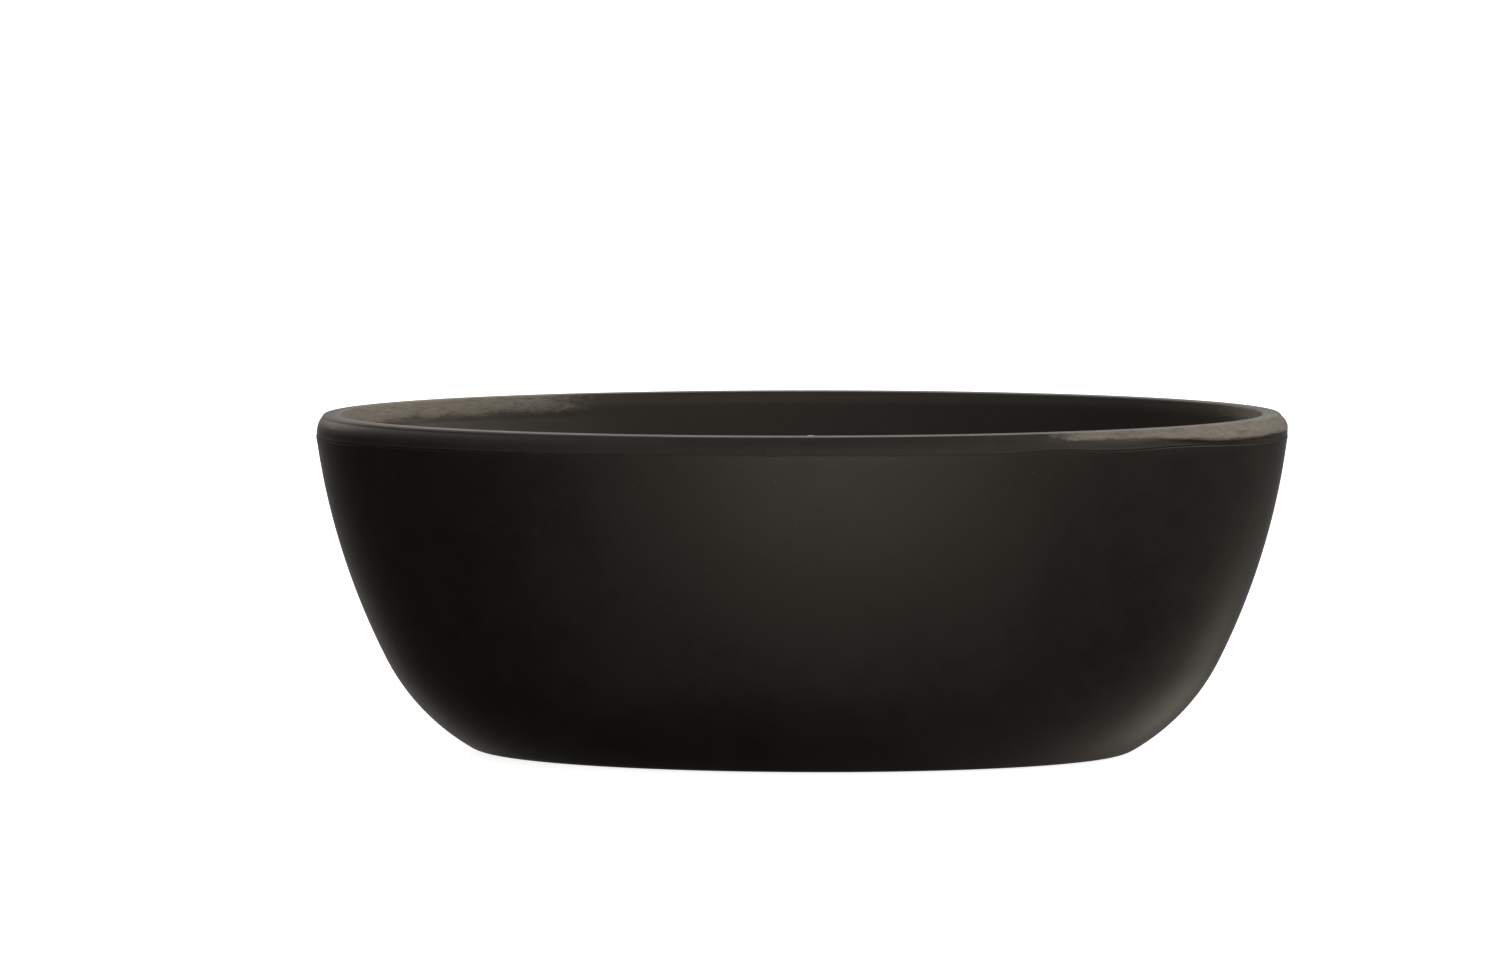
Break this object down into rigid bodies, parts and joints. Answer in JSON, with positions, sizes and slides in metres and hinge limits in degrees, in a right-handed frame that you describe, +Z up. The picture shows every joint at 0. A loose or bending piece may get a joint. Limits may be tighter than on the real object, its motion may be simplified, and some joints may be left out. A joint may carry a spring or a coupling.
{
  "type": "freestanding bathtub",
  "caption": "Oval double-skin freestanding bathtub in matte black cast stone with a bevelled rim, levelling feet, push plug waste, overflow and trap.",
  "frame": {"origin": "centre of the footprint, on the floor under the soles of the feet", "axes": "+X along the length, -Y towards the side away from the overflow, +Z up"},
  "size_m": [1.7, 0.8, 0.6],
  "materials": {
    "black_stone": "matte",
    "seam_adhesive": "matte",
    "plywood": "satin",
    "black_rubber": "matte",
    "zinc_steel": "satin",
    "grey_tube": "satin",
    "black_plastic": "matte",
    "white_plastic": "satin",
    "brass_chrome": "polished",
    "spring_steel": "satin"
  },
  "bodies": {
    "tub": {"basin": "black_stone", "outer_shell": "black_stone", "rim_bond": "seam_adhesive", "support_board": "plywood", "rail_strips": "black_rubber", "left_long_rails": "grey_tube", "left_cross_rails": "grey_tube", "right_long_rails": "grey_tube", "right_cross_rails": "grey_tube", "rail_end_caps": "black_plastic", "weld_nuts": "zinc_steel", "lock_nuts": "zinc_steel", "skirt_brackets": "zinc_steel", "rail_bolts": "zinc_steel", "flange_bolts": "zinc_steel", "waste_flange": "brass_chrome", "waste_gasket_top": "black_rubber", "waste_gasket_bottom": "black_rubber", "waste_body": "white_plastic", "plug_cartridge": "zinc_steel", "plug_spring": "spring_steel", "overflow_ring": "brass_chrome", "overflow_cover": "brass_chrome", "overflow_screw": "zinc_steel", "overflow_gasket": "black_rubber", "overflow_elbow": "white_plastic", "overflow_hose": "white_plastic", "hose_clamps": "zinc_steel", "trap_inlet_nut": "white_plastic", "trap_inlet_washer": "black_rubber", "trap_dip_tube": "white_plastic", "trap_body": "white_plastic", "trap_cleanout_cap": "white_plastic", "trap_outlet_nut": "white_plastic", "outlet_pipe": "white_plastic", "elbow_seal": "black_rubber", "outlet_elbow": "white_plastic"},
    "plug": {"plug_cap": "brass_chrome", "plug_seal": "black_rubber", "plug_stem": "brass_chrome"},
    "pad_1": {"foot_pad_1": "zinc_steel", "foot_sole_1": "black_rubber"},
    "stud_1": {"foot_stud_1": "zinc_steel"},
    "pad_2": {"foot_pad_2": "zinc_steel", "foot_sole_2": "black_rubber"},
    "stud_2": {"foot_stud_2": "zinc_steel"},
    "pad_3": {"foot_pad_3": "zinc_steel", "foot_sole_3": "black_rubber"},
    "stud_3": {"foot_stud_3": "zinc_steel"},
    "pad_4": {"foot_pad_4": "zinc_steel", "foot_sole_4": "black_rubber"},
    "stud_4": {"foot_stud_4": "zinc_steel"}
  },
  "joints": [
    {"name": "plug_push", "type": "slide", "parent": "tub", "child": "plug", "axis": [0, 0, 1], "range_m": [-0.009, 0], "stiffness_N_per_m": 300, "springref_m": 0.01, "deforming": ["plug_spring"]},
    {"name": "foot_1_travel", "type": "slide", "parent": "tub", "child": "pad_1", "axis": [0, 0, -1], "range_m": [0, 0.014]},
    {"name": "stud_1_turn", "type": "hinge", "parent": "pad_1", "child": "stud_1", "pos_m": [-0.35, -0.095, 0.06], "axis": [0, 0, -1], "range_deg": [0, 2880]},
    {"name": "foot_2_travel", "type": "slide", "parent": "tub", "child": "pad_2", "axis": [0, 0, -1], "range_m": [0, 0.014]},
    {"name": "stud_2_turn", "type": "hinge", "parent": "pad_2", "child": "stud_2", "pos_m": [0.35, -0.095, 0.06], "axis": [0, 0, -1], "range_deg": [0, 2880]},
    {"name": "foot_3_travel", "type": "slide", "parent": "tub", "child": "pad_3", "axis": [0, 0, -1], "range_m": [0, 0.014]},
    {"name": "stud_3_turn", "type": "hinge", "parent": "pad_3", "child": "stud_3", "pos_m": [-0.35, 0.095, 0.06], "axis": [0, 0, -1], "range_deg": [0, 2880]},
    {"name": "foot_4_travel", "type": "slide", "parent": "tub", "child": "pad_4", "axis": [0, 0, -1], "range_m": [0, 0.014]},
    {"name": "stud_4_turn", "type": "hinge", "parent": "pad_4", "child": "stud_4", "pos_m": [0.35, 0.095, 0.06], "axis": [0, 0, -1], "range_deg": [0, 2880]}
  ],
  "couplings": [
    {"joint": "stud_1_turn", "follows": "foot_1_travel", "rad_per_m": 3590.4},
    {"joint": "stud_2_turn", "follows": "foot_2_travel", "rad_per_m": 3590.4},
    {"joint": "stud_3_turn", "follows": "foot_3_travel", "rad_per_m": 3590.4},
    {"joint": "stud_4_turn", "follows": "foot_4_travel", "rad_per_m": 3590.4}
  ]
}
